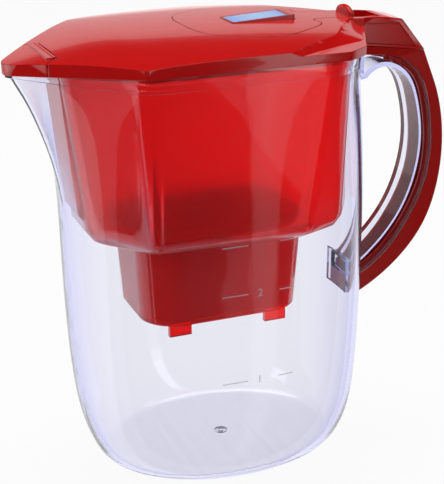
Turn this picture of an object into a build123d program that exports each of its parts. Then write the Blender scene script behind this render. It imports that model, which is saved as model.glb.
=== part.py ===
from build123d import *
import math
import os

os.makedirs("parts", exist_ok=True)

# Water filter pitcher, millimetres. X runs from the spout (-X) to the handle (+X),
# Z is up, and the jug stands on Z = 0 with the origin under the middle of its length.

# Plan outline of the lid: an octagon drawn out to a spout. Near half, mirrored about Y = 0.
body_x = -12.0                 # middle of the jug's body
tip_x = -134.7                 # where the two bow sides would meet, before the tip is rounded
bow_x = -75.0                  # corner between bow and side
side_x = 37.0                  # corner between side and rear facet
half_width = 73.0
facet_x = 50.5                 # corner between rear facet and stern
facet_y = 63.5
stern_x = 75.5
stern_y = 13.0
tip_radius = 13.0
corner_radius = 3.0

# Heights
floor_wall = 3.0
skirt_z = 245.3                # lower edge of the lid's skirt along the sides
bow_slope = 0.12               # the rim falls towards the spout from the bow corner on
crown_z = 257.0                # highest line of the lid
crown_radius_y = 582.0
crown_radius_x = 1500.0
bow_drop = 0.14                # extra fall of the crown over the bow
bow_blend = 14.0
rim_rise = 1.2                 # the jug's rim stands this far up inside the skirt
band_depth = 8.3               # thick band below the jug's rim

# Walls and running gaps
jug_wall = 2.4
band_step = 0.8
skirt_wall = 2.0
lid_wall = 2.2
hopper_wall = 2.0
fit_gap = 0.3
hopper_gap = 1.8
flange_height = 1.5
seat_gap = 0.15

# Jug body: half axes at full size, and how far the base draws in
body_a = 86.0
body_b = 68.5
draw_a = (7.0, 8.5)
draw_b = (5.0, 9.0)
draw_height = (45.0, 12.0)
base_round = 5.0
base_shift = 0.3               # the base lies this far behind the middle, the wall before it
wall_shift = -3.0
base_roundness = 2.0           # exponents of the oval at the base and at mid height
wall_roundness = 2.8
shape_height = 35.0
spout_start_z = 140.0
rim_full_z = 240.0
soft_corner = 40.0             # exponent that rounds the corners of the jug's octagon


def polygon_inset(points, inset):
    """Corners of a closed polygon, drawn in by a distance."""
    corners = []
    count = len(points)
    for i in range(count):
        (ax, ay), (bx, by), (cx, cy) = points[i - 1], points[i], points[(i + 1) % count]
        n1 = (by - ay, ax - bx)
        n2 = (cy - by, bx - cx)
        l1, l2 = math.hypot(*n1), math.hypot(*n2)
        n1 = (n1[0] / l1, n1[1] / l1)
        n2 = (n2[0] / l2, n2[1] / l2)
        share = inset / (1 + n1[0] * n2[0] + n1[1] * n2[1])
        corners.append((bx - (n1[0] + n2[0]) * share, by - (n1[1] + n2[1]) * share))
    return corners


lid_corners = [(tip_x, 0.0), (bow_x, -half_width), (side_x, -half_width), (facet_x, -facet_y),
               (stern_x, -stern_y), (stern_x, stern_y), (facet_x, facet_y),
               (side_x, half_width), (bow_x, half_width)]


def lid_face(inset):
    """The lid's plan outline with its corners rounded, drawn in by a distance."""
    corners = polygon_inset(lid_corners, inset)
    face = make_face(Polyline(*corners, close=True))
    tip = face.vertices().sort_by(Axis.X)[0]
    face = fillet(tip, max(tip_radius - inset, 1.0))
    others = face.vertices().sort_by(Axis.X)[2:]
    return fillet(others, max(corner_radius - inset, 0.6))


def polygon_sides(inset):
    """Direction and distance from the body's middle of each side of the lid's octagon."""
    corners = polygon_inset(lid_corners, inset)
    sides = []
    for (ax, ay), (bx, by) in zip(corners, corners[1:] + corners[:1]):
        length = math.hypot(bx - ax, by - ay)
        nx, ny = (by - ay) / length, (ax - bx) / length
        sides.append((nx, ny, nx * (ax - body_x) + ny * ay))
    return sides


def soft_radius(sides, angle, power):
    """Distance from the middle to a polygon with softened corners, along one direction."""
    cx, cy = math.cos(angle), math.sin(angle)
    total = sum((max(0.0, cx * nx + cy * ny) / d) ** power for nx, ny, d in sides)
    return total ** (-1.0 / power)


def oval_radius(a, b, power, angle):
    return (abs(math.cos(angle) / a) ** power + abs(math.sin(angle) / b) ** power) ** (-1 / power)


ring_points = 56
tip_crowding = 0.45


def ring_angles():
    """Directions round the jug, closer together at the spout's tip."""
    steps = [2 * math.pi * i / ring_points for i in range(ring_points)]
    return [t + tip_crowding * math.sin(t) for t in steps]


def ring(point_at, z):
    return Wire([Spline(*[(*point_at(t), z) for t in ring_angles()], periodic=True)])


def loft_rings(point_at, heights):
    return Solid.make_loft([ring(lambda t, z=z: point_at(t, z), z) for z in heights])


def polar(middle, radius, angle):
    return (middle + radius * math.cos(angle), radius * math.sin(angle))


def mixed(first, second, share):
    """A point part of the way from one point to another."""
    return tuple(p + (q - p) * share for p, q in zip(first, second))


def prism(face, z0, z1):
    return Pos(0, 0, z0) * extrude(face, z1 - z0)


def side_plate(points, y0, y1):
    """A plate drawn in side view (X, Z) and extruded from Y = y0 to y1."""
    face = make_face(Polyline(*[(x, 0, z) for x, z in points], close=True))
    return Pos(0, y0, 0) * extrude(face, y1 - y0, dir=(0, 1, 0))


# Rim line: level along the sides, falling towards the spout
far = 260.0


def rim_z(x):
    return skirt_z - bow_slope * max(0.0, bow_x - x)


def above_rim(dz):
    """All the space above the rim line, moved up by dz."""
    points = [(-far, rim_z(-far) + dz), (bow_x, skirt_z + dz), (far, skirt_z + dz),
              (far, 2 * far), (-far, 2 * far)]
    return side_plate(points, -far, far)


def crown_spine(x):
    """Height of the lid's top along its middle line."""
    past = bow_x - x
    fall = bow_drop * (math.hypot(past, bow_blend) + past) / 2
    return crown_z - (x - body_x) ** 2 / (2 * crown_radius_x) - fall


def crown_section(x):
    top = crown_spine(x)
    half = half_width + 12
    edge = top - half ** 2 / (2 * crown_radius_y)
    base = skirt_z - 60
    return Wire([Line((x, -half, base), (x, half, base)), Line((x, half, base), (x, half, edge)),
                 ThreePointArc((x, half, edge), (x, 0, top), (x, -half, edge)),
                 Line((x, -half, edge), (x, -half, base))])


crown_steps = 20
crown_ends = (tip_x - 10, stern_x + 20)
crown = Solid.make_loft([crown_section(mixed(crown_ends[:1], crown_ends[1:], i / crown_steps)[0])
                         for i in range(crown_steps + 1)])


def under_crown(face, depth):
    """Everything in a plan outline that lies at least depth below the lid's top surface."""
    return prism(face, skirt_z - 40, crown_z + 10) & (Pos(0, 0, -depth) * crown)


# Jug: clear, oval at the base and octagonal at the rim, with the spout's keel in front
def body_draw(amounts, z):
    draw = sum(s * math.exp(-z / h) for s, h in zip(amounts, draw_height))
    if z < base_round:
        draw += base_round - math.sqrt(base_round ** 2 - (base_round - z) ** 2)
    return draw


rim_inset = skirt_wall + fit_gap


def jug_point(angle, z, wall):
    """A point of the jug's wall, outside for wall = 0 and inside for its thickness."""
    share = min(1.0, max(0.0, (z - spout_start_z) / (rim_full_z - spout_start_z))) ** 2
    rest = math.exp(-z / shape_height)
    power = wall_roundness + (base_roundness - wall_roundness) * rest
    middle = body_x + wall_shift + (base_shift - wall_shift) * rest
    a = body_a - body_draw(draw_a, z - wall) - wall
    b = body_b - body_draw(draw_b, z - wall) - wall
    rim = soft_radius(polygon_sides(rim_inset + band_step + wall), angle, soft_corner)
    return mixed(polar(middle, oval_radius(a, b, power, angle), angle),
                 polar(body_x, rim, angle), share)


outer_heights = (0, 0.7, 2.2, 5, 12, 25, 50, 90, 130, 150, 170, 190, 208, 224, 240, 252)
inner_heights = (3.001, 3.7, 5.2, 8, 15, 28, 52, 90, 130, 150, 170, 190, 208, 224, 240, 254)

# Handle: a clear channel moulded with the jug, open to the back, and a red cover over it
handle_half = 11.0
channel_wall = 2.4
handle_x0 = 70.3               # inside the thickness of the jug's rear wall
grip_curve = [(79.4, 218.6), (92.0, 224.2), (103.9, 218.3), (112.0, 201.5), (115.2, 178.5),
              (112.4, 156.9), (101.8, 132.2), (86.0, 113.8), (76.5, 106.0)]
seat_curve = [(100.0, 228.9), (107.8, 224.4), (114.6, 217.0), (120.6, 200.5), (123.5, 177.0),
              (121.0, 153.5), (109.6, 127.9), (96.0, 110.2), (76.5, 96.5)]
back_curve = [(124.0, 211.9), (129.3, 192.5), (131.0, 174.0), (129.0, 150.4), (120.2, 124.4),
              (105.0, 105.2), (76.0, 85.6)]
parting_front = (78.6, 237.4)  # parting line between the lid's bridge and the handle cover
parting_rear = (115.6, 232.3)
cover_lip = 4.6                # height of the cover above the clear arm
cover_half = 11.8
cover_wall = 2.4
cover_gap = 0.2
root_half = 13.5
root_depth = 3.0


def on_parting(x, dz=0.0):
    (x0, z0), (x1, z1) = parting_front, parting_rear
    return (x, z0 + (z1 - z0) * (x - x0) / (x1 - x0) + dz)


def xz(points):
    return [(x, 0, z) for x, z in points]


def across(face, half):
    return Pos(0, -half, 0) * extrude(face, 2 * half, dir=(0, 1, 0))


def loop_face(start_points, curve, close_points):
    """Straight runs, then a smooth curve, then straight runs back to the start."""
    lead = Polyline(*xz(start_points + [curve[0]]))
    smooth = Spline(*xz(curve))
    back = Polyline(*xz([curve[-1]] + close_points + [start_points[0]]))
    return make_face([*lead.edges(), *smooth.edges(), *back.edges()])


grip_hole = loop_face([(60.0, 215.0)], grip_curve, [(60.0, 106.0)])
seat_top = on_parting(handle_x0, -cover_lip)
seat_face = loop_face([(60.0, seat_top[1]), on_parting(90.0, -cover_lip)], seat_curve,
                      [(60.0, 96.5)])
back_face = loop_face([(60.0, on_parting(60.0)[1]), parting_rear], back_curve, [(60.0, 85.6)])


curve_samples = 16


def plain_edge(edge):
    """A line or an arc as it is, and any other curve as a spline through points on it."""
    if edge.geom_type in (GeomType.LINE, GeomType.CIRCLE):
        return edge
    points = [edge @ (i / curve_samples) for i in range(curve_samples + 1)]
    return Spline(*points, tangents=(edge % 0, edge % 1)).edge()


def flat_offset(face, amount):
    """A flat outline moved outwards by a distance, or inwards where it is negative."""
    moved = offset(face, amount=amount, kind=Kind.ARC)
    return make_face([plain_edge(edge) for edge in moved.face().outer_wire().edges()])


def beyond(x):
    """The half space past a given X, as a tall box."""
    return Pos(x + far / 2, 0, crown_z / 2) * Box(far, 2 * far, 2 * far)


def rod(x, z, radius, half):
    """A round bar along Y through a point of the side view."""
    return Pos(x, 0, z) * Rot(90, 0, 0) * Cylinder(radius, 2 * half)


def block(x0, x1, half, z0, z1):
    """A box from x0 to x1 and z0 to z1, centred on Y = 0."""
    return Pos((x0 + x1) / 2, 0, (z0 + z1) / 2) * Box(x1 - x0, 2 * half, z1 - z0)


arm_2d = seat_face - grip_hole
jug_outer = loft_rings(lambda t, z: jug_point(t, z, 0.0), outer_heights)
jug_inner = loft_rings(lambda t, z: jug_point(t, z, jug_wall), inner_heights)
arm = across(arm_2d, handle_half) & beyond(handle_x0)
channel = across(flat_offset(seat_face, 2.0) - flat_offset(grip_hole, channel_wall),
                 handle_half - channel_wall) & beyond(stern_x + channel_wall)
root = side_plate([(handle_x0 - 4, 87.0), (handle_x0 + root_depth, 87.0),
                   (handle_x0 + root_depth, 107.0), (handle_x0 - 4, 111.0)],
                  -root_half, root_half)
band_sides = polygon_sides(rim_inset)
band = prism(make_face(ring(lambda t: polar(body_x, soft_radius(band_sides, t, soft_corner), t),
                            0).edges()),
             skirt_z - band_depth, skirt_z + 10)
rim_slack = 0.1                # how far the rim may stand proud of its line
gate_radius = 4.0
gate_depth = 1.2
gate_z = floor_wall - gate_depth / 2
gate = Pos(body_x + 2.0, 0, gate_z) * (Cylinder(gate_radius, gate_depth)
                                       - Cylinder(gate_radius / 2.5, gate_depth))

jug_body = jug_outer + band + root + (arm - channel)
rim_trim = above_rim(-2 * rim_slack) - prism(lid_face(rim_inset - rim_slack), 0, 2 * far)
jug_body = jug_body - jug_inner - above_rim(rim_rise) - rim_trim - gate
export_step(jug_body, "parts/jug_body.step")

# Handle cover: a red shell clipped over the open back of the channel
cover_2d = back_face - flat_offset(seat_face, cover_gap)
cover_front = stern_x - rim_inset + cover_gap + 0.3
cover_body = across(cover_2d, cover_half) & beyond(cover_front)
pocket = across(flat_offset(back_face, -cover_wall), cover_half - cover_wall)
clip_half = handle_half - channel_wall - fit_gap
clip_wall = 1.4
clip_depth = 3.5
clip_start_x = 91.0            # the clips leave the top of the arm's root free
clip_start_z = 200.0
clips_2d = flat_offset(back_face, -cover_wall / 2) - flat_offset(seat_face, -clip_depth)
clips = across(clips_2d, clip_half) - across(clips_2d, clip_half - clip_wall)
clips = clips & beyond(stern_x + channel_wall + fit_gap)
clips = clips - block(0, clip_start_x, cover_half, clip_start_z, crown_z)
pocket = pocket & beyond(cover_front + cover_wall)
handle_cover = cover_body - pocket + clips
export_step(handle_cover, "parts/handle_cover.step")

# Hopper: hangs in the jug by a flange on the rim, with a sleeve for the cartridge below
nose_x = -106.0
nose_half = 15.0
nose_z = 155.0
nose_lean = 9.5                # how far the nose leans back towards its foot
tub_inset = rim_inset + band_step + jug_wall + hopper_gap
tub_floor_z = 142.0
tub_rounding = ((0.0, 7.0), (2.5, 3.0), (8.0, 0.0))    # height above the floor, draw-in
hopper_full_z = 252.0
tub_foot = [(-92.0, 18.0), (-66.0, 50.0), (22.0, 55.0), (45.5, 45.5), (66.3, 14.5)]
tub_corner = 14.0
sleeve_x = -17.5
sleeve_top = (50.0, 38.0)      # half sizes of the sleeve at the tub's floor and at its foot
sleeve_foot = (47.0, 35.5)
sleeve_corner = 21.0
sleeve_z = 94.0
sleeve_floor = 2.0
sleeve_ledge = 9.0
foot_size = (13.0, 3.0, 7.5)
foot_x = (-46.0, 12.0)


def near_to_far(half):
    """A closed outline from its near half, run from the front to the back."""
    return [(x, -y) for x, y in half] + [(x, y) for x, y in reversed(half)]


def tub_top_corners():
    """The tub's octagon below the rim: the lid's outline drawn in, with a blunt front."""
    corners = polygon_inset(lid_corners, tub_inset)
    (tx, ty), (bx, by) = corners[0], corners[1]
    front_y = (by - ty) * (nose_x - tx) / (bx - tx) + ty
    near = [(nose_x, -front_y)] + [(x, -y) for x, y in corners[1:5]]
    return near_to_far(near)


def tub_face(z, inset):
    share = min(1.0, (hopper_full_z - z) / (hopper_full_z - tub_floor_z))
    corners = [mixed(p, q, share) for p, q in zip(tub_top_corners(), near_to_far(tub_foot))]
    face = make_face(Polyline(*polygon_inset(corners, inset), close=True))
    return Pos(0, 0, z) * fillet(face.vertices(), max(tub_corner - inset, 1.0))


def tub_solid(wall):
    steps = [(tub_floor_z + wall + dz, draw + wall) for dz, draw in tub_rounding]
    steps.append((hopper_full_z, wall))
    return loft([tub_face(z, inset) for z, inset in steps], ruled=True)


def rounded_face(half_x, half_y, corner):
    return Pos(sleeve_x, 0) * RectangleRounded(2 * half_x, 2 * half_y, corner)


def sleeve_half(z, axis):
    share = (z - sleeve_z) / (tub_floor_z - sleeve_z)
    return sleeve_foot[axis] + (sleeve_top[axis] - sleeve_foot[axis]) * share


def sleeve_face(z, shrink):
    return Pos(0, 0, z) * rounded_face(sleeve_half(z, 0) - shrink, sleeve_half(z, 1) - shrink,
                                       sleeve_corner - shrink)


def sleeve_solid(shrink, z0, z1):
    """The sleeve's tapering rounded box, drawn in all round, between two heights."""
    return loft([sleeve_face(z0, shrink), sleeve_face(z1, shrink)])


def nose_solid(shrink):
    """The narrow front of the hopper that stays upright above its own foot."""
    top_x, foot_x0 = nose_x + shrink, nose_x + nose_lean + shrink
    half = nose_half - shrink
    profile = [(top_x, hopper_full_z), (foot_x0, nose_z + shrink + 5),
               (foot_x0 + 4, nose_z + shrink), (nose_x + 30, nose_z + shrink),
               (nose_x + 30, hopper_full_z)]
    return side_plate(profile, -half, half)


flange_inset = rim_inset + 0.1
flange_front = nose_x - 2.5
flange = prism(lid_face(flange_inset), skirt_z - 20, skirt_z + 20) & beyond(flange_front)
flange = (flange - above_rim(rim_rise + flange_height)) & above_rim(rim_rise)
hopper = tub_solid(0) + nose_solid(0) + sleeve_solid(0, sleeve_z, tub_floor_z + hopper_wall)
hopper = hopper - above_rim(rim_rise + flange_height / 2) + flange
hopper = hopper - tub_solid(hopper_wall) - nose_solid(hopper_wall)
hopper = hopper - sleeve_solid(hopper_wall, sleeve_z + sleeve_floor,
                               tub_floor_z + 3 * hopper_wall)
hopper = hopper - extrude(Pos(0, 0, -1) * sleeve_face(sleeve_z, sleeve_ledge), sleeve_floor + 2)
for x in foot_x:
    for side in (-1, 1):
        middle = (x, side * (sleeve_foot[1] - 5), sleeve_z - foot_size[2] / 2 + 0.5)
        hopper += Pos(*middle) * Box(foot_size[0], foot_size[1], foot_size[2] + 1)
export_step(hopper, "parts/hopper.step")

# Lid: a crowned shell whose skirt goes round the jug's rim, with a bridge over the handle
plug_gap = 1.2
plug_wall = 1.6
plug_depth = 4.0
seat_rise = rim_rise + flange_height + seat_gap
plateau_z = 250.0              # low rear corners of the lid
shoulder_foot = [(4.0, -76.0), (23.0, -65.0), (34.0, -59.5), (44.0, -54.8), (54.0, -50.5),
                 (63.0, -34.0), (72.0, -15.5)]
shoulder_top = [(-4.0, -74.5), (15.0, -62.5), (27.0, -56.0), (36.0, -50.0), (45.5, -41.0),
                (55.0, -29.0), (66.0, -14.0)]
shoulder_height = 4.3          # height of the top line above the foot line
shoulder_shift = (-0.6, 0.8)   # way in from the shoulder
bridge_half = 12.4
bridge_top = [(58.0, 254.4), (82.0, 254.3), (92.0, 253.2), (100.3, 251.6)]
bridge_gap = 0.3
bridge_wall = 2.4
panel_depth = 0.7
panel_margin = 1.8
edge_round = 1.0

# Fill flap and its hinge
hinge_x = 70.5
hinge_z = 251.7
hinge_pin_radius = 1.0
barrel_radius = 2.2
pin_clearance = 0.05
neck_half = 9.5
flap_gap = 0.5
flap_wall = 2.6
flap_rest = 0.2
flap_ledge = 4.0
ledge_wall = 2.2
flap_front_x = -30.0
flap_curve = [(-22.5, 31.5), (6.0, 45.5), (30.0, 34.5), (44.0, 20.0), (58.0, neck_half)]
opening_rear_x = 60.0
well_rear_x = 88.0
well_floor_z = 249.3

# Spout flap: its seam and its hinge across the spout
spout_hinge_x = -107.4
spout_hinge_z = 248.3
spout_barrel_radius = 1.4
spout_pin_radius = 0.55
spout_half = 20.0
spout_pin_grip = 2.8
spout_seam_slope = 0.6
spout_gap = 0.6
spout_slot = 0.4
spout_wall = 2.0


def shoulder_solid(inward, dz):
    """What is cut off each rear corner of the lid down to the plateau, moved in and down."""
    def section(share):
        curve = [mixed(p, q, share) for p, q in zip(shoulder_foot, shoulder_top)]
        curve = [(x + shoulder_shift[0] * inward, y + shoulder_shift[1] * inward)
                 for x, y in curve]
        (x0, _), (x1, y1) = curve[0], curve[-1]
        edges = Polyline((x1, y1), (x1 + far, y1), (x1 + far, -far), (x0, -far), curve[0])
        face = make_face([*Spline(*curve).edges(), *edges.edges()])
        return Pos(0, 0, plateau_z + dz + share * shoulder_height) * face

    near = loft([section(0.0), section(1.3)])
    near += Pos(0, 0, plateau_z + dz + 1.3 * shoulder_height) * extrude(
        Pos(0, 0, -plateau_z - dz - 1.3 * shoulder_height) * section(1.3), 8)
    return near + mirror(near, Plane.XZ)


def plug_face(inset):
    """Plan outline of the plug that goes down inside the hopper, drawn in by a distance."""
    return Pos(0, 0, -skirt_z) * tub_face(skirt_z, hopper_wall + plug_gap + inset)


def flap_face(rear_x):
    """Plan outline of the fill flap, with a straight neck back to the hinge."""
    curve = Spline((flap_front_x, 0), *[(x, -y) for x, y in flap_curve],
                   tangents=((0, -1), (1, 0)))
    back = Polyline((flap_curve[-1][0], -neck_half), (rear_x, -neck_half), (rear_x, 0),
                    (flap_front_x, 0))
    near = make_face([*curve.edges(), *back.edges()])
    return near + mirror(near, Plane.XZ)


def spout_region(clearance):
    """Plan region in front of the spout flap's seam, drawn forward by a clearance."""
    x0 = spout_hinge_x - 1.2 - clearance
    near = [(tip_x - 20, -half_width),
            (x0 - spout_seam_slope * (half_width - spout_half), -half_width), (x0, -spout_half)]
    return make_face(Polyline(*near, *[(x, -y) for x, y in reversed(near)], close=True))


outline = lid_face(0)
lid = (under_crown(outline, 0) & above_rim(0)) - shoulder_solid(0, 0)
bridge_x0 = stern_x - skirt_wall
bridge_foot = bridge_x0, on_parting(bridge_x0, bridge_gap)[1]
bridge_profile = (bridge_top + [on_parting(parting_rear[0], bridge_gap), bridge_foot,
                                (bridge_x0, skirt_z + seat_rise), (58.0, skirt_z + seat_rise)])
bridge = side_plate(bridge_profile, -bridge_half, bridge_half)
top_edges = [e for e in bridge.edges() if abs(abs(e.center().Y) - bridge_half) < 0.1
             and e.center().Z > 251]
bridge = fillet(top_edges, edge_round)
panel = side_plate([(bridge_x0 + 1.4, 250.7), (98.5, 249.3), on_parting(109.8, panel_margin),
                    on_parting(bridge_x0 + 5.0, panel_margin)],
                   bridge_half - panel_depth, bridge_half + 5)
bridge = bridge - panel - mirror(panel, Plane.XZ)
hollow = under_crown(plug_face(plug_wall), lid_wall) - shoulder_solid(lid_wall, -lid_wall)
skirt_room = prism(lid_face(skirt_wall), skirt_z - 60, crown_z + 5) - above_rim(seat_rise)
plug = prism(plug_face(0), skirt_z - 30, crown_z) - prism(plug_face(plug_wall), skirt_z - 30,
                                                          crown_z)
plug = (plug & above_rim(-plug_depth)) - above_rim(seat_rise + 0.5)
lid = lid - hollow - skirt_room + plug
bridge_room = side_plate([(bridge_x0 + bridge_wall, on_parting(60, 0)[1] - 20),
                          (bridge_x0 + bridge_wall, well_floor_z - bridge_wall),
                          (well_rear_x + bridge_wall, well_floor_z - bridge_wall),
                          (well_rear_x + bridge_wall + 1, 253.2 - bridge_wall),
                          (99.0, 251.6 - bridge_wall),
                          on_parting(parting_rear[0] - 2 * bridge_wall, 0),
                          on_parting(parting_rear[0] - 2 * bridge_wall, -10)],
                         -bridge_half + bridge_wall, bridge_half - bridge_wall)
lid = lid + (bridge - bridge_room)
ledge = under_crown(flat_offset(flap_face(opening_rear_x), 2.5), lid_wall - 0.3)
ledge = ledge - under_crown(flat_offset(flap_face(opening_rear_x), 3.5),
                            flap_wall + flap_rest + ledge_wall)
lid = lid + ledge
recess = prism(flat_offset(flap_face(hinge_x), flap_gap), skirt_z - 5, crown_z + 9)
lid = lid - (recess - Pos(0, 0, -flap_wall - flap_rest) * crown)
lid = lid - prism(flat_offset(flap_face(opening_rear_x), -flap_ledge), skirt_z - 20, crown_z + 9)
lid = lid - rod(hinge_x, hinge_z, barrel_radius + flap_gap, neck_half + flap_gap)
lid = lid - block(hinge_x, well_rear_x, neck_half + flap_gap, well_floor_z, crown_z + 9)
pin_grip = 2.0
pin_half = neck_half + flap_gap + pin_grip
lid = lid - rod(hinge_x, hinge_z, hinge_pin_radius + pin_clearance, pin_half + pin_clearance)
lid = lid - prism(spout_region(0), skirt_z - 60, crown_z + 9)
lid = lid - block(spout_hinge_x - 5, spout_hinge_x + spout_barrel_radius + spout_slot,
                  spout_half + 0.1, skirt_z - 20, crown_z)
spout_pin_half = spout_half + spout_pin_grip
lid_shell = lid - rod(spout_hinge_x, spout_hinge_z, spout_pin_radius + pin_clearance,
                      spout_pin_half + pin_clearance)
export_step(lid_shell, "parts/lid_shell.step")

# Fill flap: a crowned plate with a barrel at its rear and a thumb tab above it
tab_half = 9.0
tab_height = 5.0
tab_thick = 3.4
tab_round = 1.1
tab_z = 255.4
tab_lean = 6.0
flap_plan = flap_face(hinge_x)
flap_plate = under_crown(flap_plan, 0) - under_crown(flat_offset(flap_plan, 1.0), flap_wall)
tab = extrude(Ellipse(tab_height, tab_half), tab_thick / 2, both=True)
tab = Pos(hinge_x - 1.0, 0, tab_z) * Rot(0, 90 - tab_lean, 0) * fillet(tab.edges(), tab_round)
tab_stem = side_plate([(hinge_x - 2.0, hinge_z), (hinge_x - 2.6, tab_z), (hinge_x + 0.8, tab_z),
                       (hinge_x + 2.0, hinge_z)], -4.5, 4.5)
flap = flap_plate + rod(hinge_x, hinge_z, barrel_radius, neck_half) + tab + tab_stem
flap = flap - rod(hinge_x, hinge_z, hinge_pin_radius + pin_clearance, neck_half + 5)

# Filter indicator: a small tilted module let into the fill flap
module_x = -4.0
module_proud = 0.3
module_tilt = 2.8
module_length = 38.0
module_half = 9.6
module_height = 10.0
module_wall = 1.4
window = (0.7, 34.6, 9.0, 1.2)          # front, rear, half width, thickness
lcd_height = 1.5
board_height = 1.0
board_z = -2.9
cell_radius = 8.0
cell_height = 2.0
cell_u = 11.0
cell_z = -5.4
cover_height = 1.2
button_u = 30.0
button_radius = 2.1
button_travel = 0.5
switch_height = 2.1
part_gap = 0.1
place = Pos(module_x, 0, crown_spine(module_x) + module_proud) * Rot(0, -module_tilt, 0)


def slab(u0, u1, half, w_top, height):
    """A box in the module's own frame: along u, centred in v, down from w_top."""
    return Pos((u0 + u1) / 2, 0, w_top - height / 2) * Box(u1 - u0, 2 * half, height)


def disc(u, radius, w_top, height):
    return Pos(u, 0, w_top - height / 2) * Cylinder(radius, height)


u0, u1, window_half, window_height = window
room = slab(module_wall, module_length - module_wall, module_half - module_wall,
            -window_height - 0.8, module_height)
housing = slab(0, module_length, module_half, 0, module_height)
housing = fillet(housing.edges().filter_by(Axis.Z), 1.5)
housing = housing - room - slab(u0, u1, window_half, 1, 1 + window_height)
housing = housing - slab(u0 + 0.6, u1 - 0.6, window_half - 0.5, 0, 4)
export_step(place * housing, "parts/indicator_housing.step")
hole_gap = 0.2
flap_hole = place * slab(-hole_gap, module_length + hole_gap, module_half + hole_gap, 5, 25)
fill_flap = flap - flap_hole
export_step(fill_flap, "parts/fill_flap.step")
window_lens = slab(u0 + part_gap, u1 - part_gap, window_half - part_gap, 0, window_height)
window_lens = fillet(window_lens.edges().group_by(Axis.Z)[-1], 0.3)
export_step(place * window_lens, "parts/indicator_window.step")
lcd_top = -window_height - part_gap
lcd = slab(u0 + 0.9, u1 - 0.9, window_half - 0.8, lcd_top, lcd_height)
export_step(place * lcd, "parts/indicator_display.step")
inner_u1 = module_length - module_wall - part_gap
inner_half = module_half - module_wall - part_gap
board = slab(module_wall + part_gap, inner_u1, inner_half, board_z, board_height)
board_low = board_z - board_height
chip = slab(22.0, 27.0, 3.0, board_low, 1.2)
switch = slab(button_u - 2, button_u + 2, 2.0, board_low, switch_height)
export_step(place * (board + chip + switch), "parts/circuit_board.step")
cell = disc(cell_u, cell_radius, cell_z, cell_height)
cell = fillet(cell.edges(), 0.3)
export_step(place * cell, "parts/button_cell.step")
top_contact = slab(cell_u - 4, cell_u + 4, 2.0, board_low, board_low - cell_z)
cell_low = cell_z - cell_height
cover_top = cover_height - module_height
low_contact = slab(cell_u - 6, cell_u + 6, 1.6, cell_low, cell_low - cover_top)
export_step(place * top_contact, "parts/cell_contact_top.step")
export_step(place * low_contact, "parts/cell_contact_bottom.step")
battery_cover = slab(module_wall + part_gap, inner_u1, inner_half, cover_top, cover_height)
battery_cover = battery_cover - disc(button_u, button_radius + part_gap, 0, 20)
export_step(place * battery_cover, "parts/battery_cover.step")
button_top = board_low - switch_height - button_travel - part_gap
button = disc(button_u, button_radius, cover_top, cover_height + 0.4)
button += disc(button_u, button_radius + 0.9, cover_top + 1.0, 1.0)
button += disc(button_u, 1.0, button_top, button_top - cover_top - 1.0)
export_step(place * button, "parts/reset_button.step")
export_step(rod(hinge_x, hinge_z, hinge_pin_radius, pin_half), "parts/flap_hinge_pin.step")

# Spout flap: a small hood over the spout that the poured water lifts
hood = under_crown(outline, 0) & above_rim(0)
hood = hood - (under_crown(lid_face(spout_wall), spout_wall))
hood = hood & prism(spout_region(spout_gap), skirt_z - 60, crown_z)
hood_web = block(spout_hinge_x - 4, spout_hinge_x, spout_half - 1,
                 spout_hinge_z - 0.6, spout_hinge_z + 0.9)
spout_flap = hood + hood_web + rod(spout_hinge_x, spout_hinge_z, spout_barrel_radius,
                                   spout_half - 0.2)
spout_flap = spout_flap - rod(spout_hinge_x, spout_hinge_z, spout_pin_radius + pin_clearance,
                              spout_half + 5)
export_step(spout_flap, "parts/spout_flap.step")
export_step(rod(spout_hinge_x, spout_hinge_z, spout_pin_radius, spout_pin_half),
            "parts/spout_hinge_pin.step")


# Filter cartridge: a cup in the sleeve with an outlet screen, felts, media and a cap
cup_gap = 0.35
cup_wall = 1.6
cup_z0 = sleeve_z + sleeve_floor + 0.1
cup_shrink = hopper_wall + cup_gap
bore_shrink = cup_shrink + cup_wall
outlet_shrink = sleeve_ledge + 4.0
screen_height = 1.2
felt_height = 2.5
layer_gap = 0.1
seal_height = 1.2
seal_width = 2.5
cup_rim_height = 1.4
cap_plug_depth = 5.0
cap_plug_wall = 1.4
cap_height = 2.0
dome_height = 3.0
dome_shrink = 9.0
slot_size = (2.4, 11.5)
slot_y = 13.0
slot_pitch = 4.0
slot_count = 5
grip_half = 15.0
grip_thick = 3.0
grip_height = 9.0


def sleeve_prism(z, shrink, z0, height):
    """A straight rounded block with the sleeve's outline at one height."""
    return Pos(0, 0, z0 - z) * extrude(sleeve_face(z, shrink), height)


tub_top = tub_floor_z + hopper_wall
seal_z = tub_top + 0.05
rim_seat_z = seal_z + seal_height + 0.05
cup_z1 = rim_seat_z + cup_rim_height
seal_edge = hopper_wall - seal_width
cup = sleeve_solid(cup_shrink, cup_z0, cup_z1)
cup += sleeve_prism(tub_floor_z, seal_edge - 0.4, rim_seat_z, cup_rim_height)
cup = cup - sleeve_solid(bore_shrink, cup_z0 + cup_wall, cup_z1 + 1)
cartridge_shell = cup - sleeve_prism(sleeve_z, outlet_shrink, cup_z0 - 1, cup_wall + 2)
export_step(cartridge_shell, "parts/cartridge_shell.step")
seal = sleeve_prism(tub_floor_z, seal_edge, seal_z, seal_height)
seal = seal - sleeve_prism(rim_seat_z, cup_shrink - 0.1, seal_z - 1, seal_height + 2)
export_step(seal, "parts/cartridge_seal.step")


def bore_layer(z0, z1):
    """A layer that fills the cup's bore between two heights."""
    return sleeve_solid(bore_shrink + layer_gap, z0, z1)


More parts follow.
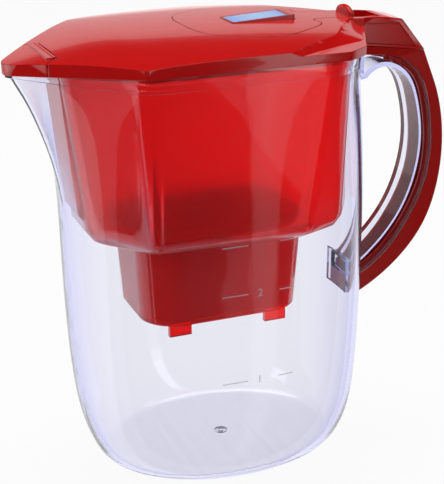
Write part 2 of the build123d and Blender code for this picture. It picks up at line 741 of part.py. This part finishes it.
screen_z = cup_z0 + cup_wall + layer_gap
hole_pitch = 6.0
hole_size = 2.6
screen_holes = [Pos(sleeve_x, 0, screen_z + screen_height / 2) * loc
                * Box(hole_size, hole_size, 2 * screen_height)
                for loc in GridLocations(hole_pitch, hole_pitch, 10, 6)]
screen = bore_layer(screen_z, screen_z + screen_height) - screen_holes
export_step(screen, "parts/outlet_screen.step")
low_felt_z = screen_z + screen_height + layer_gap
export_step(bore_layer(low_felt_z, low_felt_z + felt_height), "parts/lower_felt_pad.step")
media_z = low_felt_z + felt_height + layer_gap
top_felt_z = cup_z1 - cap_plug_depth - layer_gap - felt_height
export_step(bore_layer(media_z, top_felt_z - layer_gap), "parts/filter_media.step")
export_step(bore_layer(top_felt_z, top_felt_z + felt_height), "parts/upper_felt_pad.step")

cap_z = cup_z1 + 0.05
cap_top = cap_z + cap_height
cap = sleeve_prism(tub_floor_z, seal_edge - 0.4, cap_z, cap_height)
dome = loft([Pos(0, 0, cap_top - tub_floor_z) * sleeve_face(tub_floor_z, dome_shrink),
             Pos(0, 0, cap_top + dome_height - tub_floor_z)
             * sleeve_face(tub_floor_z, dome_shrink + 5)])
cap_plug = sleeve_solid(bore_shrink + 0.15, cup_z1 - cap_plug_depth, cap_z + 0.1)
cap_room = sleeve_solid(bore_shrink + 0.15 + cap_plug_wall, cup_z1 - cap_plug_depth - 1,
                        cap_z + 0.2)
dome_room = loft([Pos(0, 0, cap_z + 0.1 - tub_floor_z)
                  * sleeve_face(tub_floor_z, dome_shrink + cap_height),
                  Pos(0, 0, cap_top + dome_height - cap_height - tub_floor_z)
                  * sleeve_face(tub_floor_z, dome_shrink + 5 + cap_height)])
cap = cap + dome + cap_plug - cap_room - dome_room
grip = block(sleeve_x - grip_half, sleeve_x + grip_half, grip_thick / 2,
             cap_top + dome_height - 0.5, cap_top + dome_height + grip_height)
grip = fillet(grip.edges().filter_by(Axis.Y).sort_by(Axis.Z)[-2:], 5.0)
cap_slots = [Pos(sleeve_x + side * (grip_half / 2 + slot_pitch * i), row * slot_y, cap_top)
             * Box(*slot_size, 20)
             for i in range(slot_count) for side in (-1, 1) for row in (-1, 1)]
cartridge_cap = cap - cap_slots + grip
export_step(cartridge_cap, "parts/cartridge_cap.step")
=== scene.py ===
import math

import bpy
from mathutils import Euler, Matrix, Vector


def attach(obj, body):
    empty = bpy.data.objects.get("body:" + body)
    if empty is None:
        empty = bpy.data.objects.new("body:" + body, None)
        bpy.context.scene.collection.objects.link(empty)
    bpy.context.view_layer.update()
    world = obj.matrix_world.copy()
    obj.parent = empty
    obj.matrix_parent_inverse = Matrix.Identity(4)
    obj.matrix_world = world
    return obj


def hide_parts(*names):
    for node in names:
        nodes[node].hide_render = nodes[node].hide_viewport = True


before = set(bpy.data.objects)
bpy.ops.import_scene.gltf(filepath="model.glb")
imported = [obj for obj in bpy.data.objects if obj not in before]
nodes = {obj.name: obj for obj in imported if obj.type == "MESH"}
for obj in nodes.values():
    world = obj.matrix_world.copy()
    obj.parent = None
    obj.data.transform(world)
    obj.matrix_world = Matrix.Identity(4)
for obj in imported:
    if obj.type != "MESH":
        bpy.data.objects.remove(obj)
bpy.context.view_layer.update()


# Picture: the pitcher stands with its spout on the left and its whole handle on the right, seen
# from the front left and a little from above, as in a product picture.
camera_place = Vector((-0.27404, -0.67476, 0.39643))
camera_azimuth = math.radians(-21.541)
camera_drop = math.radians(20.419)
camera_roll = math.radians(-0.595)
lens_mm = 97.98
film_mm = 36.0

camera_data = bpy.data.cameras.new("camera")
camera_data.lens = lens_mm
camera_data.sensor_fit = "VERTICAL"
camera_data.sensor_height = film_mm
camera = bpy.data.objects.new("camera", camera_data)
bpy.context.scene.collection.objects.link(camera)
turn = (Euler((0, 0, camera_azimuth)).to_matrix()
        @ Euler((math.pi / 2 - camera_drop, 0, 0)).to_matrix()
        @ Euler((0, 0, camera_roll)).to_matrix())
camera.matrix_world = turn.to_4x4()
camera.location = camera_place
bpy.context.scene.camera = camera
bpy.context.scene.view_settings.view_transform = "Standard"


# Studio: a white surround that shows white behind and through the pitcher. What its glossy
# plastic mirrors is dark, with a dim wall behind, a lit panel low at the front right that glows
# below its edge, a narrow strip at the left and a lit ceiling.
class Value:
    """A shader socket that is added, multiplied and compared as numbers are."""

    def __init__(self, tree, socket):
        self.tree = tree
        self.socket = socket

    def __add__(self, other):
        return self.tree.maths("ADD", self, other)

    def __sub__(self, other):
        return self.tree.maths("SUBTRACT", self, other)

    def __rsub__(self, other):
        return self.tree.maths("SUBTRACT", other, self)

    def __mul__(self, other):
        return self.tree.maths("MULTIPLY", self, other)

    def __lt__(self, other):
        return self.tree.maths("LESS_THAN", self, other)

    def __gt__(self, other):
        return self.tree.maths("GREATER_THAN", self, other)

    __radd__ = __add__
    __rmul__ = __mul__


class Tree:
    """The nodes of one material or of the surround."""

    def __init__(self, owner):
        owner.use_nodes = True
        self.graph = owner.node_tree

    def feed(self, socket, value):
        if isinstance(value, Value):
            value = value.socket
        if isinstance(value, bpy.types.NodeSocket):
            self.graph.links.new(value, socket)
        else:
            socket.default_value = value

    def node(self, kind, settings=None, inputs=None):
        made = self.graph.nodes.new("ShaderNode" + kind)
        for name, value in (settings or {}).items():
            setattr(made, name, value)
        for name, value in (inputs or {}).items():
            self.feed(made.inputs[name], value)
        return made

    def value(self, made, output=0):
        return Value(self, made.outputs[output])

    def maths(self, operation, *terms):
        return self.value(self.node("Math", {"operation": operation}, dict(enumerate(terms))))


# Where its parts lie, seen from the pitcher. A height is the sine of an angle above the horizon,
# a bearing runs from the front to the right, and a side is a share of a direction's Y.
wall_top = math.sin(math.radians(17.5))
wall_side = 0.5
table_side = 0.1
right_edge = math.radians(22.7)
right_end = math.radians(27.9)
right_bright_from = math.sin(math.radians(-13.0))
glow_bearing = math.radians(24.3)
glow_height = math.sin(math.radians(-15.8))
glow_width = 0.016
glow_reach = 0.05
glow_fall = -1.5
strip_bearing = math.radians(-85.15)
strip_half = 0.0030
strip_spread = 0.10
strip_top = math.sin(math.radians(-12.5))
roof_from = math.sin(math.radians(55.0))
wall_from = -0.2

# How bright they are, where the surround's white is 1.
mirror_dark = 0.02
back_wall = 0.46
right_wall = 0.44
right_lamp = 2.4
right_glow = 0.40
left_strip = 1.2
roof_light = 1.2
table_level = 1.0
fill_light = 0.17

# How far a ray is lightened that was mirrored twice or more, or inside the jug's wall, and how
# far the table is dimmed for one that passed more surfaces than a crossing of the wall has.
deep_light = 0.6
wall_light = 0.8
hopper_dim = 0.35
jug_passes = 3.5

world = bpy.data.worlds.new("studio")
bpy.context.scene.world = world
studio = Tree(world)
rays = studio.node("LightPath")
towards = studio.node("TexCoord")
split = studio.node("SeparateXYZ", None, {"Vector": towards.outputs["Generated"]})
to_x, to_y, to_z = (studio.value(split, i) for i in range(3))
bearing = studio.maths("ARCTAN2", to_x, 0.0 - to_y)
behind = (to_y > wall_side) * (to_z < wall_top) * (to_z > 0.0)
table_behind = (to_y > table_side) * (to_z < 0.0)
at_right = (to_y < 0.0) * (bearing > right_edge) * (bearing < right_end)
across_glow = (bearing - glow_bearing) * (1.0 / glow_width)
up_glow = (to_z - glow_height) * (1.0 / glow_reach)
glow = studio.maths("POWER", across_glow * across_glow + up_glow * up_glow + 1.0, glow_fall)
right_level = ((to_z > right_bright_from) * (right_lamp - right_wall) + glow * right_glow
               + (right_wall - mirror_dark))
off_strip = studio.maths("ABSOLUTE", bearing - strip_bearing)
at_strip = off_strip < (strip_top - to_z) * strip_spread + strip_half
passed = studio.value(rays, "Transmission Depth")
from_hopper = passed > jug_passes
table_share = table_behind * (1.0 - from_hopper * hopper_dim)
mirrored = (behind * (back_wall - mirror_dark) + table_share * (table_level - mirror_dark)
            + at_right * right_level + at_strip * from_hopper * (left_strip - mirror_dark)
            + (to_z > roof_from) * roof_light + mirror_dark)
bounced = studio.value(rays, "Diffuse Depth") > 0.5
shiny = studio.value(rays, "Glossy Depth") > 0.5
deep = studio.value(rays, "Glossy Depth") > 1.5
inside_wall = (passed > 0.5) * (passed < jug_passes) * (to_y > wall_from)
dim_share = shiny * (1.0 - deep * deep_light) * (1.0 - inside_wall * wall_light)
level = bounced * fill_light + (1.0 - bounced) * (1.0 - dim_share * (1.0 - mirrored))
background = studio.graph.nodes["Background"]
studio.feed(background.inputs["Color"], (1.0, 1.0, 1.0, 1.0))
studio.feed(background.inputs["Strength"], level)


# Table: white as the surround, with only the pitcher's faint shadow on it. Mirrored rays pass
# through it, so that the studio decides what the gloss shows below the horizon.
def bare(name):
    """A new material with nothing in it but its Principled shader."""
    made = bpy.data.materials.new(name)
    tree = Tree(made)
    return made, tree, tree.graph.nodes["Principled BSDF"]


shadow_share = 0.06
bpy.ops.mesh.primitive_plane_add(size=6.0, location=(0, 0, 0))
table = bpy.context.object
table.name = "table"
table_look, tree, shader = bare("table_white")
tree.feed(shader.inputs["Base Color"], (0.80, 0.80, 0.80, 1.0))
tree.feed(shader.inputs["Roughness"], 0.6)
rays = tree.node("LightPath")
lit = tree.value(rays, "Diffuse Depth") > 0.5
white = tree.node("Emission", None, {"Color": (1.0, 1.0, 1.0, 1.0), "Strength": 1.0})
shaded = tree.node("MixShader", None, {0: (1.0 - lit) * (1.0 - shadow_share),
                                       1: shader.outputs[0], 2: white.outputs[0]})
unseen = tree.node("BsdfTransparent", None, {"Color": (1.0, 1.0, 1.0, 1.0)})
open_below = tree.node("MixShader", None, {0: tree.value(rays, "Glossy Depth") > 0.5,
                                           1: shaded.outputs[0], 2: unseen.outputs[0]})
tree.feed(tree.graph.nodes["Material Output"].inputs["Surface"], open_below.outputs[0])
table.data.materials.append(table_look)


# Lamps: a strong soft one overhead and a weak one at the left. Neither shows in the gloss,
# where the studio's panels stand in for them.
def lamp(name, place, aim, size, watts):
    """A rectangular soft lamp at a place, aimed at a point."""
    data = bpy.data.lights.new(name, "AREA")
    data.shape = "RECTANGLE"
    data.size, data.size_y = size
    data.energy = watts
    made = bpy.data.objects.new(name, data)
    bpy.context.scene.collection.objects.link(made)
    made.location = place
    made.rotation_euler = (Vector(aim) - Vector(place)).to_track_quat("-Z", "Y").to_euler()
    made.visible_camera = False
    made.visible_glossy = False


lamp("lamp_left", (-1.1, -0.5, 0.9), (0, 0, 0.12), (0.5, 0.9), 3.0)
lamp("lamp_top", (0.1, 0.3, 1.4), (0, 0, 0.1), (0.9, 0.9), 14.0)


# Jug: one clear moulding with its handle arm, a faint blue cast in its edges, a gate ring in
# its floor, and a gloss surface that is fire-polished in the mould. Its wall is oval below and
# eight-sided at the rim, which the shading follows exactly.
merge_reach = 1e-6
surface_reach = 0.35           # millimetres
surface_lean = math.cos(math.radians(14.0))
level_from = 0.8               # faces that lie flatter than this use the crease for a top


def smooth_copy(name, body, look, surfaces=(), crease=28.0, top_crease=28.0):
    """A CAD node's mesh with its triangles joined and its curved faces shaded smoothly.

    A surface gives how far a point lies from a true moulded surface, and its normal there.
    """
    piece = nodes[name].copy()
    piece.data = nodes[name].data.copy()
    piece.name = name + "_moulding"
    bpy.context.scene.collection.objects.link(piece)
    bpy.ops.object.select_all(action="DESELECT")
    piece.select_set(True)
    bpy.context.view_layer.objects.active = piece
    bpy.ops.object.mode_set(mode="EDIT")
    bpy.ops.mesh.select_all(action="SELECT")
    bpy.ops.mesh.remove_doubles(threshold=merge_reach)
    bpy.ops.object.mode_set(mode="OBJECT")
    mesh = piece.data
    found = [[surface(corner.co * 1000.0) for surface in surfaces] for corner in mesh.vertices]
    on_surface = {}
    for face in mesh.polygons:
        face.use_smooth = True
        for number in range(len(surfaces)):
            close = all(found[corner][number][0] < surface_reach for corner in face.vertices)
            if close and face.normal.dot(found[face.vertices[0]][number][1]) > surface_lean:
                on_surface[face.index] = number
                break
    faces_at = {}
    for face in mesh.polygons:
        for key in face.edge_keys:
            faces_at.setdefault(key, []).append(face)
    for edge in mesh.edges:
        pair = faces_at[edge.key]
        flat_pair = min(face.normal.z for face in pair) > level_from
        limit = math.cos(math.radians(top_crease if flat_pair else crease))
        parted = len({on_surface.get(face.index) for face in pair}) > 1
        edge.use_edge_sharp = parted or pair[0].normal.dot(pair[1].normal) < limit
    normals = [(0.0, 0.0, 0.0)] * len(mesh.loops)
    for face in mesh.polygons:
        if face.index in on_surface:
            for loop, corner in zip(face.loop_indices, face.vertices):
                normals[loop] = found[corner][on_surface[face.index]][1]
    mesh.normals_split_custom_set(normals)
    mesh.materials.clear()
    mesh.materials.append(look)
    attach(piece, body)
    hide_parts(name)
    return piece


def noise_on(tree, scale, detail=2.0):
    """Unevenness that is fixed to a piece, and the coordinates it is read at."""
    place = tree.node("TexCoord").outputs["Object"]
    return tree.node("TexNoise", None, {"Vector": place, "Scale": scale, "Detail": detail}), place


def blended(tree, share, first, second):
    """A colour between two, by a share from 0 to 1."""
    return tree.node("Mix", {"data_type": "RGBA", "clamp_factor": True},
                     {0: share, 6: (*first, 1.0), 7: (*second, 1.0)}).outputs[2]


def let_through(tree, shader, share, colour):
    """Lets a share of the rays straight through a piece, tinted, and gives its output node."""
    through = tree.node("BsdfTransparent", None, {"Color": (*colour, 1.0)})
    mix = tree.node("MixShader", None, {0: share, 1: shader.outputs[0], 2: through.outputs[0]})
    output = tree.graph.nodes["Material Output"]
    tree.feed(output.inputs["Surface"], mix.outputs[0])
    return output


edge_tint = (0.16, 0.14, 0.96)         # cast seen where the wall is looked along


def clear_finish(name, colour, shadow, ior=1.49, cast=None, cast_density=0.0):
    """Clear plastic: tinted where it is thick, and letting most light through to the table."""
    made, tree, shader = bare(name)
    grazing = tree.value(tree.node("LayerWeight", None, {"Blend": 0.5}), "Facing")
    tree.feed(shader.inputs["Base Color"],
              blended(tree, grazing * grazing * grazing * grazing, colour, edge_tint))
    tree.feed(shader.inputs["Transmission Weight"], 1.0)
    tree.feed(shader.inputs["IOR"], ior)
    ripple, _ = noise_on(tree, 14.0, 1.0)
    tree.feed(shader.inputs["Roughness"], tree.value(ripple) * 0.01)
    bump = tree.node("Bump", None, {"Height": ripple.outputs[0], "Strength": 0.05,
                                    "Distance": 0.002})
    tree.feed(shader.inputs["Normal"], bump.outputs[0])
    rays = tree.node("LightPath")
    dim = tree.maths("MAXIMUM", tree.value(rays, "Is Shadow Ray"),
                     tree.value(rays, "Is Diffuse Ray"))
    output = let_through(tree, shader, dim, shadow)
    if cast:
        volume = tree.node("VolumeAbsorption", None, {"Color": (*cast, 1.0),
                                                      "Density": cast_density})
        tree.feed(output.inputs["Volume"], volume.outputs[0])
    return made


# Sizes of the moulding in millimetres.
body_x = -12.0
lid_outline = [(-134.7, 0.0), (-75.0, -73.0), (37.0, -73.0), (50.5, -63.5), (75.5, -13.0),
               (75.5, 13.0), (50.5, 63.5), (37.0, 73.0), (-75.0, 73.0)]
rim_inset = 2.3
rim_sharpness = 40
band_step = 0.8
band_foot_z = 236.0
jug_wall = 2.4
wall_half = (86.0, 68.5)       # half sizes of the oval wall along X and Y
wall_draw = ((7.0, 8.5), (5.0, 9.0))   # how far each draws in, slowly and then quickly
draw_height = (45.0, 12.0)     # over these heights
foot_round = 5.0
wall_shift = -3.0              # the wall lies ahead of the middle and the base behind it
base_shift = 0.3
wall_roundness = 2.8
base_roundness = 2.0
shape_height = 35.0
spout_start_z = 140.0
rim_full_z = 240.0
gradient_step = 0.05


def outline_sides(inset):
    """Direction and distance from the body's middle of each side of the lid's outline."""
    sides = []
    for (ax, ay), (bx, by) in zip(lid_outline, lid_outline[1:] + lid_outline[:1]):
        length = math.hypot(bx - ax, by - ay)
        nx, ny = (by - ay) / length, (ax - bx) / length
        sides.append((nx, ny, nx * (ax - body_x) + ny * ay - inset))
    return sides


def outline_radius(sides, angle):
    """Distance from the middle to the softened outline at an angle."""
    cx, cy = math.cos(angle), math.sin(angle)
    total = sum((max(0.0, cx * nx + cy * ny) / d) ** rim_sharpness for nx, ny, d in sides)
    return total ** (-1 / rim_sharpness)


def draw_in(amounts, height):
    """How far the jug's wall draws in towards its base, with the round at its foot."""
    draw = sum(amount * math.exp(-height / fall) for amount, fall in zip(amounts, draw_height))
    if height < foot_round:
        draw += foot_round - math.sqrt(max(0.0, foot_round ** 2 - (foot_round - height) ** 2))
    return draw


def past_wall(point, wall, sides):
    """How far a point lies outside the jug's wall, oval below and eight-sided at the rim."""
    x, y, z = point
    share = min(1.0, max(0.0, (z - spout_start_z) / (rim_full_z - spout_start_z))) ** 2
    rest = math.exp(-z / shape_height)
    power = wall_roundness + (base_roundness - wall_roundness) * rest
    a, b = [half - draw_in(draw, z - wall) - wall for half, draw in zip(wall_half, wall_draw)]
    middle = (wall_shift + (base_shift - wall_shift) * rest) * (1.0 - share) + body_x
    angle = math.atan2(y, x - middle)
    oval = (abs(math.cos(angle) / a) ** power + abs(math.sin(angle) / b) ** power) ** (-1 / power)
    radius = oval + (outline_radius(sides, angle) - oval) * share if share else oval
    return math.hypot(x - middle, y) - radius


def slope_of(measure, point):
    """The direction in which a measure of a point grows fastest."""
    here = measure(point)
    return Vector([measure(point + Vector(step)) - here for step in (
        (gradient_step, 0, 0), (0, gradient_step, 0), (0, 0, gradient_step))]).normalized()


def wall_surface(wall, side):
    """The outer (side 1) or inner (side -1) surface of the jug's wall."""
    sides = outline_sides(rim_inset + band_step + wall)

    def surface(point):
        off = abs(past_wall(point, wall, sides))
        if off > surface_reach:
            return off, None
        return off, side * slope_of(lambda p: past_wall(p, wall, sides), point)
    return surface


def band_surface(point):
    """The thick band below the jug's rim."""
    sides = outline_sides(rim_inset)

    def past(p):
        radius = outline_radius(sides, math.atan2(p.y, p.x - body_x))
        return math.hypot(p.x - body_x, p.y) - radius
    off = abs(past(point)) if point.z > band_foot_z else math.inf
    return off, slope_of(past, point) if off < surface_reach else None


jug_clear = clear_finish("jug_clear", (1.0, 1.0, 1.0), (0.95, 0.95, 0.99), ior=1.40,
                         cast=(0.22, 0.25, 0.98), cast_density=24.0)
jug = smooth_copy("jug_body", "jug", jug_clear,
                  (wall_surface(0.0, 1.0), wall_surface(jug_wall, -1.0), band_surface))


# Level marks: fine raised dashes and numbers on the near side of the jug, moulded with it and
# left faintly frosted. Each is drawn flat in front of the jug and laid onto its wall.
def set_on_wall(piece, look, height):
    """Lays a flat piece drawn in front of the jug onto its wall, and makes it raised."""
    bpy.ops.object.select_all(action="DESELECT")
    piece.select_set(True)
    bpy.context.view_layer.objects.active = piece
    bpy.ops.object.transform_apply(location=True, rotation=True, scale=True)
    wrap = piece.modifiers.new("wrap", "SHRINKWRAP")
    wrap.target = jug
    wrap.wrap_method = "PROJECT"
    wrap.use_project_y = True
    wrap.use_positive_direction = True
    wrap.use_negative_direction = False
    bpy.ops.object.modifier_apply(modifier="wrap")
    thick = piece.modifiers.new("thick", "SOLIDIFY")
    thick.thickness = height
    thick.offset = 1.0
    bpy.ops.object.modifier_apply(modifier="thick")
    piece.data.materials.append(look)
    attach(piece, "jug")


mark_look, tree, shader = bare("mark_frosted")
tree.feed(shader.inputs["Base Color"], (0.92, 0.92, 0.98, 1.0))
tree.feed(shader.inputs["Transmission Weight"], 0.7)
tree.feed(shader.inputs["Roughness"], 0.3)
mark_rows = [("top", 0.1495, ""), ("two", 0.1212, "2"), ("one", 0.0688, "1")]
dashes = [(-0.0345, -0.0195), (-0.001, 0.0080)]
dash_height = 0.00045
mark_raise = 0.00015
digit_size = 0.0062
digit_x = -0.0140
drawn_y = -0.08                # in front of the jug's wall
facing = (math.pi / 2, 0, 0)
for row, height, digit in mark_rows:
    for number, (start, end) in enumerate(dashes, 1):
        bpy.ops.mesh.primitive_grid_add(x_subdivisions=16, y_subdivisions=1, size=1.0,
                                        location=((start + end) / 2, drawn_y, height),
                                        rotation=facing)
        dash = bpy.context.object
        dash.name = f"mark_{row}_{number}"
        dash.scale = (end - start, dash_height, 1.0)
        set_on_wall(dash, mark_look, mark_raise)
    if digit:
        bpy.ops.object.text_add(location=(digit_x, drawn_y, height - digit_size / 3),
                                rotation=facing)
        figure = bpy.context.object
        figure.data.body = digit
        figure.data.size = digit_size
        bpy.ops.object.convert(target="MESH")
        figure = bpy.context.object
        figure.name = f"mark_{row}_number"
        set_on_wall(figure, mark_look, mark_raise)


# Hopper: a translucent red tub, hung in the jug by its flange, softly clouded with a gloss
# skin. Its wall glows with painted red light, stronger towards the stern, in place of light that
# scatters inside the wall.
painted_glow_from = -0.030
painted_glow_slope = 12.0
painted_glow_colour = (0.090, 0.0020, 0.0018)

hopper_look, tree, shader = bare("hopper_red")
tree.feed(shader.inputs["Base Color"], (0.99, 0.003, 0.002, 1.0))
tree.feed(shader.inputs["Transmission Weight"], 0.84)
tree.feed(shader.inputs["IOR"], 1.49)
tree.feed(shader.inputs["Coat Weight"], 1.0)
tree.feed(shader.inputs["Coat Roughness"], 0.02)
cloud, place = noise_on(tree, 30.0)
tree.feed(shader.inputs["Roughness"], tree.value(cloud) * 0.08 + 0.16)
split = tree.node("SeparateXYZ", None, {"Vector": place})
# Painted glow: the wall emits red light that rises towards the stern, standing in for light
# scattered inside it.
painted_glow_share = (tree.value(split) - painted_glow_from) * painted_glow_slope
tree.feed(shader.inputs["Emission Color"],
          blended(tree, painted_glow_share * (tree.value(cloud) * 0.4 + 0.8), (0.0, 0.0, 0.0), painted_glow_colour))
tree.feed(shader.inputs["Emission Strength"], 1.0)
shadow_ray = tree.value(tree.node("LightPath"), "Is Shadow Ray")
let_through(tree, shader, shadow_ray, (0.75, 0.10, 0.10))
smooth_copy("hopper", "hopper", hopper_look)


# Cartridge: a white plastic cup with a domed cap and pull tab, two felt pads, dark granules
# between them and a fine screen at the outlet. It is pushed down into the hopper's sleeve, where
# its rubber seal holds it.
def moulded(name, colour, rough=0.10, coat=0.3, ripple_scale=90.0, ripple=0.02):
    """Opaque moulded plastic: slightly uneven gloss, a faint ripple and rounded edges."""
    made, tree, shader = bare(name)
    noise, _ = noise_on(tree, ripple_scale)
    tree.feed(shader.inputs["Roughness"], tree.value(noise) * 0.06 + rough)
    tree.feed(shader.inputs["Base Color"],
              blended(tree, noise.outputs[0], colour, [c * 0.90 for c in colour]))
    rounded = tree.node("Bevel", {"samples": 6}, {"Radius": 0.0007})
    bump = tree.node("Bump", None, {"Height": noise.outputs[0], "Strength": ripple,
                                    "Distance": 0.001, "Normal": rounded.outputs[0]})
    tree.feed(shader.inputs["Normal"], bump.outputs[0])
    tree.feed(shader.inputs["Coat Weight"], coat)
    tree.feed(shader.inputs["Coat Roughness"], 0.02)
    return made


def dress(look, *names):
    """Gives CAD nodes that stay as they are their material."""
    for name in names:
        slots = nodes[name].data.materials
        slots.clear()
        slots.append(look)


cup_look = moulded("cartridge_white", (0.86, 0.86, 0.87), rough=0.25)
smooth_copy("cartridge_shell", "cartridge", cup_look)
smooth_copy("cartridge_cap", "cartridge", cup_look)
dress(moulded("screen_white", (0.80, 0.80, 0.82), rough=0.4, coat=0.0), "outlet_screen")
dress(moulded("seal_grey", (0.06, 0.065, 0.07), rough=0.55, coat=0.0), "cartridge_seal")
dress(moulded("felt_white", (0.84, 0.83, 0.79), rough=0.85, coat=0.0, ripple_scale=900.0,
              ripple=0.8), "upper_felt_pad", "lower_felt_pad")
dress(moulded("granules_black", (0.02, 0.02, 0.02), rough=0.6, coat=0.0, ripple_scale=700.0,
              ripple=1.0), "filter_media")


# Lid: an opaque red gloss shell with a bridge over the handle, moulded with a gentle crown that
# falls away over the bow. Its fill flap and spout flap are of the same plastic.
crown_z = 257.0
crown_arc = 585.1
crown_arc_along = 1500.0
bow_x = -75.0
bow_drop = 0.14
bow_round = 14.0


def crown_height(p):
    """Height of a point above the lid's crown, which falls away over the bow."""
    past = bow_x - p.x
    along = crown_z - (p.x - body_x) ** 2 / (2 * crown_arc_along)
    along -= bow_drop * (math.hypot(past, bow_round) + past) / 2
    return p.z - along + crown_arc - math.sqrt(crown_arc ** 2 - p.y ** 2)


def crown_surface(point):
    """The lid's crown, as smooth_copy takes a surface."""
    off = abs(crown_height(point))
    return off, slope_of(crown_height, point) if off < surface_reach else None


lid_red = moulded("lid_red", (0.66, 0.005, 0.005))
smooth_copy("lid_shell", "lid", lid_red, (crown_surface,), top_crease=9.0)
smooth_copy("fill_flap", "fill_flap", lid_red, (crown_surface,))
smooth_copy("spout_flap", "spout_flap", lid_red, (crown_surface,))


# Hinge pins and cell: drawn steel wire across the lid, and the plated cell with its spring
# contacts. The draw marks run along the wire.
pin_steel, tree, shader = bare("pin_steel")
place = tree.node("TexCoord").outputs["Object"]
stretch = tree.node("Mapping", None, {"Vector": place, "Scale": (1.0, 0.04, 1.0)})
lines = tree.node("TexNoise", None, {"Vector": stretch.outputs[0], "Scale": 3000.0})
tree.feed(shader.inputs["Base Color"], (0.62, 0.62, 0.64, 1.0))
tree.feed(shader.inputs["Metallic"], 1.0)
tree.feed(shader.inputs["Roughness"], tree.value(lines) * 0.15 + 0.2)
dress(pin_steel, "flap_hinge_pin", "spout_hinge_pin", "button_cell", "cell_contact_top",
      "cell_contact_bottom")


# Handle cover: a darker red gloss shell, moulded on its own and clipped over the back of the
# jug's clear arm.
smooth_copy("handle_cover", "jug", moulded("cover_red", (0.56, 0.008, 0.006)))


# Indicator: a red housing let into the fill flap, with a clear window over its blue display, a
# circuit board, a matt battery cover and a soft black reset button.
display_middle = 0.0155
display_fade = 70.0

dress(lid_red, "indicator_housing")
dress(moulded("battery_red", (0.25, 0.004, 0.006), rough=0.4), "battery_cover")
dress(moulded("button_black", (0.03, 0.03, 0.032), rough=0.6, coat=0.0), "reset_button")
dress(moulded("board_green", (0.02, 0.10, 0.04)), "circuit_board")
dress(clear_finish("window_clear", (0.95, 0.98, 1.0), (0.97, 0.98, 1.0)), "indicator_window")
display_look, tree, shader = bare("display_blue")
grain, place = noise_on(tree, 500.0)
split = tree.node("SeparateXYZ", None, {"Vector": place})
# Painted highlight: the display's colour is paler across its middle, standing in for light
# mirrored in its window.
off_middle = (tree.value(split) - display_middle) * display_fade
painted_sheen = (1.0 - off_middle * off_middle) * (tree.value(grain) * 0.3 + 0.75)
tree.feed(shader.inputs["Base Color"],
          blended(tree, painted_sheen, (0.10, 0.40, 0.95), (0.42, 0.78, 1.0)))
tree.feed(shader.inputs["Roughness"], 0.35)
tree.feed(shader.inputs["Specular IOR Level"], 0.2)
dress(display_look, "indicator_display")
